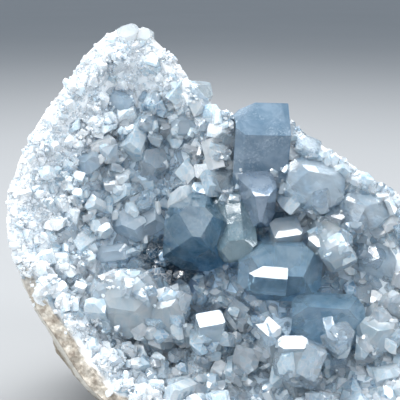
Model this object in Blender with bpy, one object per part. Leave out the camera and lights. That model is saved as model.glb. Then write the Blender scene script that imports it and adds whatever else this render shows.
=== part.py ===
"""A celestite geode: half of a hollow nodule, its opening turned to the front and tilted up.

Two pieces: the rind, a thin shell of host rock with one flat spot to rest on, and the crust, the massive
celestite that lines it together with every crystal that grows from it. The origin is the middle of the
flat spot, +Z is up, and the opening looks towards -Y and up. Lengths are in metres, written as
millimetres times MM.
"""

import math
import random

import bmesh
import bpy
from mathutils import Matrix, Vector, noise

MM = 0.001

# The opening: a plane through its centre, tilted back, and the rim's radius at each angle round it,
# counted from +X towards the top
OPENING_CENTRE = Vector((-8, -4, 60)) * MM
OPENING_TILT = math.radians(58)
RIM = [
    (5, 78), (17, 71), (27, 63), (38, 59), (50, 57), (60, 56), (70, 52), (80, 51), (88, 56), (95, 65),
    (101, 79), (106, 90), (112, 91), (121, 86), (131, 80), (143, 76), (155, 73), (167, 70), (187, 62),
    (209, 56), (232, 57), (258, 58), (283, 63), (306, 73), (323, 83), (337, 86), (351, 84),
]
RIM_STEP = 1.6 * MM  # how far the broken rim stands up and sinks

# The nodule behind the opening
NODULE_DEPTH = 59 * MM
SAG = 0.24  # how far the back hangs down the slope, for each unit of depth
REACH_POWER = 0.62  # under 1, the sides are fuller than a ball's
LUMP = 3.2 * MM
LUMP_SIZE = 21 * MM
PIT_SIZE = 10 * MM
RIM_WALL = 3.6 * MM
BACK_WALL = 8.5 * MM
BASE_WALL = 6 * MM
GRID = 12  # squares along each side of the cube that is pulled into shape

# The crust inside it
GAP = 0.8 * MM  # between the rind and the crust
BOWL_DEPTH = 26 * MM
BOWL_SHARE = 0.93  # the bowl starts here, inside the broken rim
CRUST_LIFT = 2.4 * MM  # how far the massive layer stands above the broken rim
CRUST_STEP = 1.1 * MM  # and how rough it is
CRUST_OVERHANG = 0.7 * MM
BURIED = 2 * MM  # how deep the massive layer is drawn into the rind before it is cut back

# The space before the opening that crystals may fill
RIM_ROOM = 9 * MM
DOME_ROOM = 14 * MM
DOME_HEIGHT = 50 * MM
DOME_POWER = 0.4

ACROSS = Vector((1, 0, 0))
UP_SLOPE = Vector((0, math.cos(OPENING_TILT), math.sin(OPENING_TILT)))
OUT = ACROSS.cross(UP_SLOPE)
BACKWARD = -OUT - SAG * UP_SLOPE
FRONT = Vector((0, -math.cos(math.radians(16)), math.sin(math.radians(16))))  # towards who looks at it


def mix(first, second, share):
    return first + (second - first) * share


def rim_radius(angle):
    """The rim's radius at an angle, on a smooth closed curve through RIM's points."""
    degrees = math.degrees(angle) % 360
    count = len(RIM)
    after = next((i for i, point in enumerate(RIM) if point[0] > degrees), 0)
    start = RIM[after - 1][0]
    span = (RIM[after][0] - start) % 360
    share = ((degrees - start) % 360) / span
    before_r, start_r, end_r, after_r = (RIM[(after + i) % count][1] for i in (-2, -1, 0, 1))
    curve = 0.5 * (
        2 * start_r
        + (end_r - before_r) * share
        + (2 * before_r - 5 * start_r + 4 * end_r - after_r) * share**2
        + (3 * start_r - before_r - 3 * end_r + after_r) * share**3
    )
    return curve * MM


def back_radius(angle):
    """The rim's radius smoothed over a third of a turn, for the nodule's back."""
    turns = [math.radians(step) for step in range(-60, 61, 15)]
    return sum(rim_radius(angle + turn) for turn in turns) / len(turns)


def place(angle, reach, depth):
    """A point of the nodule: angle round the opening, reach from its centre, depth behind its plane."""
    slope = math.cos(angle) * ACROSS + math.sin(angle) * UP_SLOPE
    along = BACKWARD if depth > 0 else -OUT
    return OPENING_CENTRE + reach * slope + depth * along


def above_base(point, least):
    """The point, kept at least this high above the base, with a soft bend."""
    bend = 4 * MM
    over = point.z - least
    return Vector((point.x, point.y, least + (over + math.sqrt(over**2 + bend**2)) / 2))


def rim_lift(angle):
    """How far the broken rim stands out of the opening's plane."""
    spot = Vector((math.cos(angle), math.sin(angle), 0))
    return RIM_STEP * (noise.noise(spot * 2.3) + 0.6 * noise.noise(spot * 7))


def outer_edge(angle, outward=0.0, lift=0.0):
    return place(angle, rim_radius(angle) + outward, -rim_lift(angle) - lift)


def inner_edge(angle, inward=0.0, lift=0.0):
    return place(angle, rim_radius(angle) - RIM_WALL - inward, -rim_lift(angle) - lift)


def nodule(angle, share, inset):
    """Reach and depth of the nodule's smooth form; share runs from 0 at its back to 1 at the rim."""
    turn = share * math.pi / 2
    radius = mix(back_radius(angle), rim_radius(angle), share**4)
    reach = radius * math.sin(turn) ** REACH_POWER - inset * math.sin(turn)
    return max(reach, 0.0), (NODULE_DEPTH - inset) * math.cos(turn)


def outside(angle, share):
    """The rock's outside: lumps and pits over the smooth form, fading towards the rim."""
    reach, depth = nodule(angle, share, 0.0)
    point = place(angle, reach, depth)
    middle = place(0.0, 0.0, 0.35 * NODULE_DEPTH)
    lumps = noise.noise(point / LUMP_SIZE) + 0.4 * noise.noise(point / PIT_SIZE)
    return point + (point - middle).normalized() * LUMP * lumps * (1 - share**6)


def inside(angle, share, inset=0.0):
    """The rock's smooth inner wall, or a surface inset from it."""
    wall = mix(BACK_WALL, RIM_WALL, share**2) + inset
    point = place(angle, *nodule(angle, share, wall))
    return above_base(point, BASE_WALL + inset)


def rind_point(angle, ring):
    """Ring 0 is the middle of the back, 1 the rim's outer edge, and 2 the middle of the inner wall."""
    first_inner = 1 + 1 / GRID
    if ring < 1:
        return outside(angle, ring)
    if ring < first_inner:
        return outer_edge(angle)
    if ring < first_inner + 0.5 / GRID:
        return inner_edge(angle)
    return inside(angle, (2 - ring) * GRID / (GRID - 1))


def room_point(angle, ring):
    """The room that the crust may fill: the cavity, the space over the rim, and a dome before it."""
    last_inner = 1 - 1 / GRID
    if ring < last_inner - 0.5 / GRID:
        return inside(angle, ring * GRID / (GRID - 1), GAP)
    if ring < 1:
        return inner_edge(angle, GAP, GAP)
    if ring < 1 + 0.5 / GRID:
        return outer_edge(angle, 0.0, GAP)
    if ring < 1 + 1.5 / GRID:
        return outer_edge(angle, RIM_ROOM, GAP)
    turn = (2 - ring) * math.pi / 2
    reach = (rim_radius(angle) + DOME_ROOM) * math.sin(turn) ** DOME_POWER
    return place(angle, reach, -DOME_HEIGHT * math.cos(turn) - GAP)


def bowl_depth(share):
    """Depth of the massive layer's face; share runs from 0 at the middle to 1 at the rim."""
    return BOWL_DEPTH * max(0.0, 1 - (share / BOWL_SHARE) ** 2) ** 0.8


def layer_point(angle, ring):
    """The massive celestite: its back runs into the rind, and its face is a shallow bowl."""
    if ring < 1:
        return inside(angle, ring, -BURIED)
    if ring < 1 + 0.5 / GRID:
        return outer_edge(angle, CRUST_OVERHANG, -BURIED)
    if ring < 1 + 1.5 / GRID:
        point = outer_edge(angle, CRUST_OVERHANG / 2)
    else:
        share = math.sin((2 - ring) * math.pi / 2)
        point = place(angle, rim_radius(angle) * share, bowl_depth(share))
    rough = noise.noise(point / (9 * MM)) + 0.5 * noise.noise(point / (4 * MM))
    return point + OUT * (CRUST_LIFT + CRUST_STEP * rough)


def add_mesh(name, bm, collection):
    """A new object from this bmesh, facing out."""
    bmesh.ops.recalc_face_normals(bm, faces=bm.faces)
    mesh = bpy.data.meshes.new(name)
    bm.to_mesh(mesh)
    bm.free()
    made = bpy.data.objects.new(name, mesh)
    collection.objects.link(made)
    return made


def pulled_cube(shape):
    """A cube with a grid on its faces, pulled into a shape that is given by angle and ring."""
    bm = bmesh.new()
    bmesh.ops.create_cube(bm, size=2)
    bmesh.ops.subdivide_edges(bm, edges=bm.edges, cuts=GRID - 1, use_grid_fill=True)
    for vert in bm.verts:
        x, y, z = vert.co
        square = max(abs(x), abs(y))
        angle = math.atan2(math.tan(y * math.pi / 4), math.tan(x * math.pi / 4)) if square > 0 else 0.0
        # The faces across the axis hold the first and last half rings, and the sides hold the rest.
        ring = square / 2 if z < -1 + 1e-6 else 2 - square / 2 if z > 1 - 1e-6 else 1 + z / 2
        vert.co = shape(angle, ring)
    bmesh.ops.triangulate(bm, faces=bm.faces)
    return bm


def cut(bm, point, normal):
    """Cuts a convex solid on a plane, drops what lies beyond it and closes the cut."""
    everything = bm.verts[:] + bm.edges[:] + bm.faces[:]
    made = bmesh.ops.bisect_plane(
        bm, geom=everything, dist=1e-7, plane_co=point, plane_no=normal, clear_outer=True
    )
    edges = [part for part in made["geom_cut"] if isinstance(part, bmesh.types.BMEdge)]
    if len(edges) > 2:
        bmesh.ops.contextual_create(bm, geom=edges)


def crystal(
    width, thick, length, bevels=(0.2, 0.2, 0.2, 0.2), slopes=(35, 35), skew=0.0,
    ends=(45, 45), ridge=(-0.2, 0.2), top=0.0,
):
    """One crystal, its tip at the origin and its root at -Z: a prism with cut corners, and a chisel end.

    Two slopes meet in a ridge along X, set off the middle by skew half thicknesses, and two end facets
    cut the ridge at shares of the width. Bevels are the cut corners, from +X +Y round to +X -Y, and top
    is how far below the ridge a flat face cuts it off. Slopes and ends are in degrees.
    """
    bm = bmesh.new()
    box = Matrix.Diagonal((width, thick, length, 1))
    bmesh.ops.create_cube(bm, size=1, matrix=Matrix.Translation((0, 0, -length / 2)) @ box)
    corner = math.radians(52)
    for (x, y), share in zip(((1, 1), (-1, 1), (-1, -1), (1, -1)), bevels):
        if not share:
            continue
        normal = Vector((x * math.cos(corner), y * math.sin(corner), 0))
        full = (width * math.cos(corner) + thick * math.sin(corner)) / 2
        cut(bm, normal * full * (1 - share), normal)
    middle = skew * thick / 2
    for side, slope in zip((1, -1), slopes):
        turn = math.radians(slope)
        cut(bm, Vector((0, middle, 0)), Vector((0, side * math.sin(turn), math.cos(turn))))
    for side, slope, share in zip((-1, 1), ends, ridge):
        turn = math.radians(slope)
        cut(bm, Vector((share * width, middle, 0)), Vector((side * math.sin(turn), 0, math.cos(turn))))
    if top > 0:
        cut(bm, Vector((0, 0, -top)), Vector((0, 0, 1)))
    return bm


def grow(everything, tip, lean, turn, bm):
    """Adds a crystal to the rest with its tip here, its axis along lean, turned about that axis."""
    axis = Vector(lean).normalized()
    side = (ACROSS - axis * ACROSS.dot(axis)).normalized()
    basis = Matrix((side, axis.cross(side), axis)).transposed().to_4x4()
    bmesh.ops.transform(
        bm, verts=bm.verts,
        matrix=Matrix.Translation(tip) @ basis @ Matrix.Rotation(math.radians(turn), 4, "Z"),
    )
    bmesh.ops.recalc_face_normals(bm, faces=bm.faces)
    mesh = bpy.data.meshes.new("one crystal")
    bm.to_mesh(mesh)
    bm.free()
    everything.from_mesh(mesh)
    bpy.data.meshes.remove(mesh)


# The large crystals: tip in mm, direction of the axis, turn about it, then the crystal's own form
LARGE = [
    # The milky chisel that stands up over the rim
    ((12, 17.5, 109.5), (0.04, -0.16, 1), 3,
     dict(width=19.2, thick=16, length=42, bevels=(0.2, 0.2, 0.16, 0.02), slopes=(50, 36),
          skew=0.4, ends=(36, 75), ridge=(-0.12, 0.5))),
    # The dark blue pyramid at the middle
    ((-12.2, -4.5, 64.5), (-0.06, -0.97, -0.02), -4,
     dict(width=22, thick=26, length=42, bevels=(0.3, 0.3, 0.24, 0.2), slopes=(30, 34), skew=0.3,
          ends=(36, 48), ridge=(-0.03, 0.1))),
    # The clear blue one that faces the front, and the small step on its ridge
    ((18, -12, 56), (0.04, -0.97, 0.12), -3,
     dict(width=29.5, thick=20, length=42, bevels=(0.24, 0.3, 0.3, 0.26), slopes=(33, 38),
          skew=0.1, ends=(42, 50), ridge=(-0.24, 0.22))),
    ((12.6, -12.8, 59), (0, -0.47, 0.88), -6,
     dict(width=13, thick=5, length=9, bevels=(0.02, 0.5, 0.2, 0.02), slopes=(4, 4), ends=(5, 5),
          top=0.3)),
    # The prism above it, pointing down, and the round-ended one at its left
    ((11, -1, 72.5), (0.06, -0.9, -0.42), 0,
     dict(width=12.5, thick=16, length=40, bevels=(0.1, 0.2, 0.1, 0.2), slopes=(28, 35),
          ends=(72, 58), ridge=(-0.06, 0))),
    ((3.5, -2.5, 58.5), (0.05, -0.8, -0.6), 8,
     dict(width=14, thick=12, length=40, bevels=(0.3, 0.3, 0.3, 0.3), slopes=(40, 40),
          ends=(48, 48), top=0.6)),
    # Small pale one at the right, and the large pale ones under the rim there
    ((37.5, -9.5, 60.5), (0.12, -0.93, -0.3), 30,
     dict(width=10.5, thick=11, length=34, bevels=(0.25, 0.25, 0.25, 0.25), slopes=(30, 30),
          top=1)),
    ((49, 0, 78.5), (0.3, -0.75, 0.55), 20,
     dict(width=15, thick=14, length=30, slopes=(38, 35), ends=(40, 40))),
    ((31, 4.5, 87.5), (0.1, -0.75, 0.6), -10,
     dict(width=20, thick=17, length=34, skew=0.1, ends=(40, 35))),
    ((40.5, 2.5, 73.5), (0.1, -0.85, 0.5), 35,
     dict(width=12, thick=11, length=26, slopes=(30, 45), ends=(50, 35))),
    ((-2, 14.5, 85), (-0.05, -0.75, 0.66), -15,
     dict(width=10, thick=10, length=26, slopes=(40, 35), ends=(60, 60))),
    ((54, -3, 59), (0.2, -0.9, 0.35), -25,
     dict(width=12.5, thick=11, length=28, slopes=(32, 40), ends=(45, 40))),
    # The broad ledge below the clear one, the upright prism beside it and their neighbours
    ((33.5, -15, 46), (0, -0.62, 0.78), -4,
     dict(width=25, thick=17, length=28, slopes=(25, 48), skew=0.1, ends=(30, 40),
          ridge=(-0.3, 0.25))),
    ((36.5, -22.5, 43), (0, -0.45, 0.89), 25,
     dict(width=7, thick=6.5, length=28, slopes=(20, 30), ends=(25, 30))),
    ((51, -20.5, 41.5), (0.15, -0.72, 0.6), 10,
     dict(width=14, thick=12, length=26, slopes=(35, 40), ends=(40, 40))),
    ((22, -27.5, 37), (-0.05, -0.6, 0.79), 5,
     dict(width=11, thick=9, length=30, slopes=(30, 35), ends=(35, 35))),
    # Flat-topped blocks
    ((20, 4.5, 69.5), (0, -0.46, 0.88), 12,
     dict(width=10.5, thick=9.5, length=26, bevels=(0.1, 0.25, 0.05, 0.12), slopes=(8, 8),
          ends=(12, 12), top=0.3)),
    ((31.5, 0, 66.5), (0.02, -0.5, 0.86), 40,
     dict(width=7.2, thick=7, length=26, slopes=(6, 6), ends=(8, 8), top=0.3)),
    ((12.5, -20.5, 43), (-0.1, -0.48, 0.86), 38,
     dict(width=5.5, thick=9.5, length=28, slopes=(6, 6), ends=(8, 8), top=0.3)),
    ((20, -26, 40), (0, -0.5, 0.86), 0,
     dict(width=9.5, thick=5, length=30, slopes=(6, 6), ends=(8, 8), top=0.3)),
    ((-6.5, -16.5, 44), (0.05, -0.44, 0.9), 15,
     dict(width=9, thick=6, length=26, bevels=(0.1, 0.1, 0.02, 0.1), slopes=(6, 6), ends=(8, 8),
          top=0.3)),
    # Two at the peak of the rim, and blunt ones on the skyline beside the notch
    ((-37, 38, 136), (-0.15, -0.45, 0.88), 20,
     dict(width=8.5, thick=7.5, length=17, slopes=(40, 35), ends=(40, 50))),
    ((-30, 37.5, 135), (0.15, -0.4, 0.9), -15,
     dict(width=6, thick=6, length=16, slopes=(45, 45), ends=(55, 50))),
    ((-9, 23, 116), (0.25, -0.6, 0.75), 10,
     dict(width=8, thick=8, length=17, slopes=(30, 30), ends=(30, 40))),
    ((29, 14, 98.5), (0.2, -0.55, 0.8), -20,
     dict(width=9, thick=7, length=18, slopes=(35, 35), ends=(35, 45))),
    # Blocky ones on the left, and narrower ones behind them
    ((-21.5, -14.5, 45), (-0.05, -0.9, 0.4), 12,
     dict(width=11, thick=17, length=28, slopes=(35, 30), skew=0.2, ends=(30, 35))),
    ((-36, -15.5, 45.5), (-0.1, -0.95, 0.2), -8,
     dict(width=21, thick=19, length=28, slopes=(28, 30), skew=0.1, ends=(25, 35))),
    ((-28, 14, 67.5), (0.1, -0.9, 0.3), 30,
     dict(width=11, thick=9, length=26, slopes=(35, 40), ends=(40, 50))),
    ((-36, 13, 66), (-0.2, -0.9, 0.1), -20,
     dict(width=13, thick=10, length=26, slopes=(30, 35), ends=(35, 40))),
    ((-42, 9.5, 58), (-0.1, -0.8, 0.6), 5,
     dict(width=14, thick=6, length=22, slopes=(25, 30), ends=(30, 35))),
    ((-50, 18, 90), (0.1, -0.8, 0.4), 40,
     dict(width=9, thick=8, length=20, slopes=(40, 35), ends=(45, 40))),
    ((-15.5, 25, 103), (0.1, -0.7, 0.65), 10,
     dict(width=9.5, thick=8, length=20, slopes=(35, 35), ends=(50, 40))),
    ((-39.5, 30, 111), (0, -0.75, 0.6), -30,
     dict(width=9, thick=8, length=20, slopes=(40, 30), ends=(40, 45))),
]

# The smaller crystals cover the rest of the bowl: for each zone the share of the radius where it ends,
# the spacing of the crystals there, and their least and greatest width
ZONES = [(0.5, 10.5, 9.5, 13.5), (0.82, 9.3, 8.5, 12), (1.0, 7.9, 6.5, 9.5)]
SEED = 11
TRIES = 6000
SPREAD = 0.55  # how much the crystals near the rim lean in
LEAN = 0.42  # and how much each leans its own way
PROUD = (0.35, 0.8)  # how far a tip stands out of the massive layer, in widths
ROOTED = 0.9  # and how deep the root goes
THICK = (0.7, 1.0)
BEVELLED = 0.2  # share of the edges that are cut off
BEVELS = (0.18, 0.35)
SLOPES = (26, 50)
SKEW = 0.4
ENDS = (30, 62)
RIDGE = (0.1, 0.5)

# What they keep clear of
CROWDED = 0.3  # a small crystal keeps this share of its spacing clear of a large one
SHOWN = (0.3, 0.7, 1.1)  # places on a large crystal's axis that show, in widths below its tip
HALF = 0.45  # of a large crystal's width, kept clear round its axis
BESIDE = 0.4  # of the small crystal's own width, kept clear besides
BEHIND = 0.2  # a crystal this far behind such a place, in halves, hides nothing
SKYLINE = (math.radians(55), math.radians(118))  # here the crystals stand out over the rim
SKYLINE_OVERHANG = 1.8 * MM
RIM_CLEAR = 0.5 * MM


def small_crystals(rng, everything):
    """Scatters crystals over the bowl, each rooted in the massive layer and leaning its own way."""
    taken, shown = [], []
    for tip, lean, _, form in LARGE:
        width, top, axis = form["width"] * MM, Vector(tip) * MM, Vector(lean).normalized()
        taken.append((top, HALF * width))
        shown += [(top - axis * share * width, HALF * width) for share in SHOWN]
    placed = []
    for _ in range(TRIES):
        angle = rng.uniform(0, 2 * math.pi)
        share = math.sqrt(rng.random())
        _, spacing, least, most = next(zone for zone in ZONES if share <= zone[0])
        spacing *= MM
        width = rng.uniform(least, most) * MM
        overhang = SKYLINE_OVERHANG if SKYLINE[0] < angle < SKYLINE[1] else -RIM_CLEAR
        if rim_radius(angle) * (1 - share) < 0.5 * width - overhang:
            continue
        face = place(angle, rim_radius(angle) * share, bowl_depth(share)) + OUT * CRUST_LIFT
        if any((face - other).length < spacing for other in placed):
            continue
        if any(flat_distance(face, tip) < room + CROWDED * spacing for tip, room in taken):
            continue
        slope = math.cos(angle) * ACROSS + math.sin(angle) * UP_SLOPE
        lean = OUT - slope * SPREAD * share**2
        lean += Vector([rng.uniform(-1, 1) for _ in range(3)]) * LEAN
        lean.normalize()
        above = width * rng.uniform(*PROUD)
        if hides(face + lean * above, width, shown):
            continue
        placed.append(face)
        form = crystal(
            width=width,
            thick=width * rng.uniform(*THICK),
            length=above + width * ROOTED,
            bevels=[rng.uniform(*BEVELS) if rng.random() < BEVELLED else 0.0 for _ in range(4)],
            slopes=(rng.uniform(*SLOPES), rng.uniform(*SLOPES)),
            skew=rng.uniform(-SKEW, SKEW),
            ends=(rng.uniform(*ENDS), rng.uniform(*ENDS)),
            ridge=(-rng.uniform(*RIDGE), rng.uniform(*RIDGE)),
        )
        grow(everything, face + lean * above, lean, rng.uniform(0, 360), form)


def hides(spot, size, shown):
    """Whether a crystal of this size, with its tip here, stands before a large one as seen from the front."""
    for middle, room in shown:
        apart = spot - middle
        before = apart.dot(FRONT)
        if before > -BEHIND * room and (apart - FRONT * before).length < room + BESIDE * size:
            return True
    return False


def flat_distance(first, second):
    """The distance between two points as seen from straight before the opening."""
    apart = first - second
    return (apart - OUT * apart.dot(OUT)).length


def large_crystals(everything):
    for tip, lean, turn, form in LARGE:
        sized = {name: value * MM if name in ("width", "thick", "length", "top") else value
                 for name, value in form.items()}
        grow(everything, Vector(tip) * MM, lean, turn, crystal(**sized))


def add_boolean(target, other, operation):
    modifier = target.modifiers.new(f"{operation.lower()} {other.name}", "BOOLEAN")
    modifier.operation = operation
    modifier.solver = "EXACT"
    modifier.use_self = operation == "UNION"
    modifier.object = other


def largest_shell(bm):
    """Drops the pockets closed in between crystals, and any chip that is cut free: one shell is kept."""
    left = set(bm.verts)
    shells = []
    while left:
        shell, edge = set(), [left.pop()]
        while edge:
            vert = edge.pop()
            shell.add(vert)
            for near in (link.other_vert(vert) for link in vert.link_edges):
                if near in left:
                    left.remove(near)
                    edge.append(near)
        shells.append(shell)
    shells.sort(key=len, reverse=True)
    loose = [vert for shell in shells[1:] for vert in shell]
    bmesh.ops.delete(bm, geom=loose, context="VERTS")


def add_material(made, name, colour, roughness, transmission=0.0, ior=1.5):
    material = bpy.data.materials.new(name)
    material.use_nodes = True
    shader = material.node_tree.nodes["Principled BSDF"]
    shader.inputs["Base Color"].default_value = (*colour, 1)
    shader.inputs["Roughness"].default_value = roughness
    shader.inputs["Metallic"].default_value = 0.0
    shader.inputs["Transmission Weight"].default_value = transmission
    shader.inputs["IOR"].default_value = ior
    made.data.materials.append(material)


def make_rind(collection):
    """The shell of host rock, cut off flat below."""
    bm = pulled_cube(rind_point)
    bmesh.ops.bisect_plane(
        bm, geom=bm.verts[:] + bm.edges[:] + bm.faces[:], dist=1e-6,
        plane_co=(0, 0, 0), plane_no=(0, 0, -1), clear_outer=True,
    )
    bmesh.ops.holes_fill(bm, edges=[edge for edge in bm.edges if edge.is_boundary])
    rind = add_mesh("rind", bm, collection)
    add_material(rind, "host rock", (0.42, 0.38, 0.32), 0.9)
    return rind


def make_crust(collection, cutters):
    """The massive layer and all its crystals in one solid, cut back to the room inside the rind."""
    layer = add_mesh("massive layer", pulled_cube(layer_point), cutters)
    room = add_mesh("room for the crust", pulled_cube(room_point), cutters)
    everything = bmesh.new()
    large_crystals(everything)
    small_crystals(random.Random(SEED), everything)
    crystals = add_mesh("crystals", everything, cutters)
    add_boolean(layer, crystals, "UNION")
    add_boolean(layer, room, "INTERSECT")
    for helper in (layer, room, crystals):
        helper.hide_render = True
        helper.display_type = "WIRE"

    bpy.context.view_layer.update()
    whole = layer.evaluated_get(bpy.context.evaluated_depsgraph_get())
    bm = bmesh.new()
    bm.from_mesh(whole.to_mesh())
    whole.to_mesh_clear()
    bmesh.ops.remove_doubles(bm, verts=bm.verts, dist=2e-6)
    largest_shell(bm)
    bmesh.ops.dissolve_limit(bm, angle_limit=math.radians(0.3), verts=bm.verts, edges=bm.edges)
    bmesh.ops.triangulate(bm, faces=bm.faces)
    crust = add_mesh("crystal_crust", bm, collection)
    add_material(crust, "celestite", (0.52, 0.66, 0.78), 0.12, 0.6, 1.62)
    return crust


def main():
    for old in list(bpy.data.objects):
        bpy.data.objects.remove(old)
    scene = bpy.context.scene
    parts = bpy.data.collections.new("celestite geode")
    cutters = bpy.data.collections.new("cutters")
    scene.collection.children.link(parts)
    scene.collection.children.link(cutters)
    make_rind(parts)
    make_crust(parts, cutters)


main()
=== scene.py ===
"""The looks of the celestite geode: broken rock outside, and a hollow full of pale blue crystals.

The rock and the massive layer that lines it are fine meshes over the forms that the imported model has. The
large crystals stand where its solids stand, and smaller ones, then grains, are rooted on them all. Lengths
are in metres, written as millimetres times MM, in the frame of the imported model.
"""

import math
import random

import bmesh
import bpy
import numpy as np
from mathutils import Matrix, Vector, noise
from mathutils.bvhtree import BVHTree


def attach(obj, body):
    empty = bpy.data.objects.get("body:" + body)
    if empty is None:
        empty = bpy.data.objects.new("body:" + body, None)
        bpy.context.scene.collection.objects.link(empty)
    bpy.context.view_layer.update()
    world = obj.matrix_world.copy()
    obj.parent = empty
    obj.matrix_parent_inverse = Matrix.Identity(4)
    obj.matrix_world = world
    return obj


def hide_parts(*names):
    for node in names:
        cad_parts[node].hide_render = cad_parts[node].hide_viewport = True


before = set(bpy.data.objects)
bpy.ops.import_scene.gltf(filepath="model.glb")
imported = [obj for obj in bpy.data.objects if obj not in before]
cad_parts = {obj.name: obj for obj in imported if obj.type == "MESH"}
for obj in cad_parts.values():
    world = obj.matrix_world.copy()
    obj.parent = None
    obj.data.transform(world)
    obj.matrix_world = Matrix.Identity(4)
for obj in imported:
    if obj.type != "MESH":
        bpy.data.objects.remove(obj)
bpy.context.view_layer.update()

MM = 0.001

# The opening and the nodule behind it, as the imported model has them. RIM is the opening's radius in mm at
# angles in degrees, counted from +X towards the top.
OPENING_CENTRE = Vector((-8, -4, 60)) * MM
OPENING_TILT = math.radians(58)
RIM = [
    (5, 78), (17, 71), (27, 63), (38, 59), (50, 57), (60, 56), (70, 52), (80, 51), (88, 56), (95, 65),
    (101, 79), (106, 90), (112, 91), (121, 86), (131, 80), (143, 76), (155, 73), (167, 70), (187, 62),
    (209, 56), (232, 57), (258, 58), (283, 63), (306, 73), (323, 83), (337, 86), (351, 84),
]
RIM_STEP = 1.6 * MM  # how far the broken rim stands up and sinks
NODULE_DEPTH = 59 * MM
SAG = 0.24  # how far the back hangs down the slope, for each unit of depth
REACH_POWER = 0.62  # under 1, the sides are fuller than a ball's
LUMP = 3.2 * MM
LUMP_SIZE = 21 * MM
PIT_SIZE = 10 * MM
RIM_WALL = 3.6 * MM
BACK_WALL = 8.5 * MM
BASE_WALL = 6 * MM
GAP = 0.8 * MM  # between the rock and the crust
BOWL_DEPTH = 26 * MM
BOWL_SHARE = 0.93  # the bowl starts here, inside the broken rim
CRUST_LIFT = 2.4 * MM  # how far the massive layer stands above the broken rim
CRUST_OVERHANG = 0.7 * MM

ACROSS = Vector((1, 0, 0))
UP_SLOPE = Vector((0, math.cos(OPENING_TILT), math.sin(OPENING_TILT)))
OUT = ACROSS.cross(UP_SLOPE)
BACKWARD = -OUT - SAG * UP_SLOPE
CAMERA_ELEVATION = math.radians(16)
FRONT = Vector((0, -math.cos(CAMERA_ELEVATION), math.sin(CAMERA_ELEVATION)))  # towards the camera

# Squares along each side of the cubes that are pulled into shape
ROCK_GRID = 118
LAYER_GRID = 110

# Roughness: heights in mm, and the sizes of the forms
GRAIN, GRAIN_SIZE = 0.9, 7 * MM
PITS, CRACKS, CRACKED_SIZE = 1.1, 0.7, 5.5 * MM
PITTED_PATCHES, CRACKED_PATCHES = 13 * MM, 17 * MM
LIP_GRAIN, LIP_GRAIN_SIZE = 0.9, 5 * MM
FLAT_SPOT = 0.35 * MM  # rock lower than this is the flat spot, nearly smooth
FLAT_GRAIN, FLAT_GRAIN_SIZE = 0.25 * MM, 2.5 * MM
LAYER_GRAIN, LAYER_GRAIN_SIZE = 1.1, 9 * MM
LAYER_CELLS, LAYER_CELLS_SIZE = 0.9, 3.2 * MM

# The small crystals and the grains
DRUSE_SEED = 5
SMALL_TRIES = 14000
SMALL_FORMS = 60
FLAT_ENDED = 0.12  # share of these forms with nearly flat ends
SMALL_WIDTHS = (6.0 * MM, 4.2 * MM)  # mean widths, at the middle and at the rim
SMALL_VARIED = 0.3  # how far the widths spread
SMALL_TIGHT = 0.52  # least distance between two, in their mean width
SMALL_CELL = 6 * MM  # of the grid that finds neighbours
SMALL_PROUD = (0.15, 0.55)  # how far they stand out, in widths
SMALL_OUTWARD = 0.7  # how much they lean out of the hollow
SMALL_LEAN = 0.45  # and how much each leans its own way
SUGARY_WIDTH = 0.6  # how much smaller they are on the white band
SUGARY_LEFT_OUT = 0.7  # share of them left out there
DUST_MARGIN = 0.03  # how far they and the grains keep from the dusty strip
ON_CRYSTAL = (0.2, 0.75)  # share of them that may grow on larger ones: in the hollow, and at the left rim
WHITE_BAND = (0.56, 0.90)  # shares of the rim's radius where the white band starts and is full
BLUE = (0.43, 0.26)  # how blue they are, at the middle and at the rim
BLUE_SPREAD = 0.16
MOST_BLUE = 0.65
# Painted shade: the pocket's crystals get a higher tone, towards the ramp's darkest stops.
POCKET_SHADE = 0.8  # and how much is added in the dark pocket
CLEAR_SHARE = 0.6
MEDIUM_DRAWN_IN = 0.85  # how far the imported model's smaller ones are drawn in at the left
GRAIN_TRIES = 16000
GRAIN_FORMS = 30
GRAIN_WIDTHS = (0.5, 1.3)  # in mm
GRAINS_IN_HOLLOW = 0.03  # share of them in the hollow
DRUSE_OVERHANG = 0.8 * MM  # how far they may stand out over the rim
RAY_BACK = 60  # mm before the opening, where the rays that find their places start
SMALL_RAYS = 0.35  # how much they slant, for the small crystals
GRAIN_RAYS = 0.3  # and for the grains


def mix(first, second, share):
    return first + (second - first) * share


def smooth(low, high, value):
    """0 below low, 1 above high, and a soft step between."""
    share = min(max((value - low) / (high - low), 0.0), 1.0)
    return share * share * (3 - 2 * share)


def rim_radius(angle):
    """The rim's radius at an angle, on a smooth closed curve through RIM's points."""
    degrees = math.degrees(angle) % 360
    count = len(RIM)
    after = next((i for i, point in enumerate(RIM) if point[0] > degrees), 0)
    start = RIM[after - 1][0]
    span = (RIM[after][0] - start) % 360
    share = ((degrees - start) % 360) / span
    before_r, start_r, end_r, after_r = (RIM[(after + i) % count][1] for i in (-2, -1, 0, 1))
    curve = 0.5 * (
        2 * start_r
        + (end_r - before_r) * share
        + (2 * before_r - 5 * start_r + 4 * end_r - after_r) * share**2
        + (3 * start_r - before_r - 3 * end_r + after_r) * share**3
    )
    return curve * MM


BACK_TURNS = range(-60, 61, 15)
BACK_RADII = [
    sum(rim_radius(math.radians(degrees + turn)) for turn in BACK_TURNS) / len(BACK_TURNS)
    for degrees in range(360)
]


def back_radius(angle):
    """The rim's radius smoothed over a third of a turn, for the nodule's back."""
    degrees = math.degrees(angle) % 360
    whole = int(degrees) % 360
    return mix(BACK_RADII[whole], BACK_RADII[(whole + 1) % 360], degrees - int(degrees))


def place(angle, reach, depth):
    """A point of the nodule: angle round the opening, reach from its centre, depth behind its plane."""
    slope = math.cos(angle) * ACROSS + math.sin(angle) * UP_SLOPE
    along = BACKWARD if depth > 0 else -OUT
    return OPENING_CENTRE + reach * slope + depth * along


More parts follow.
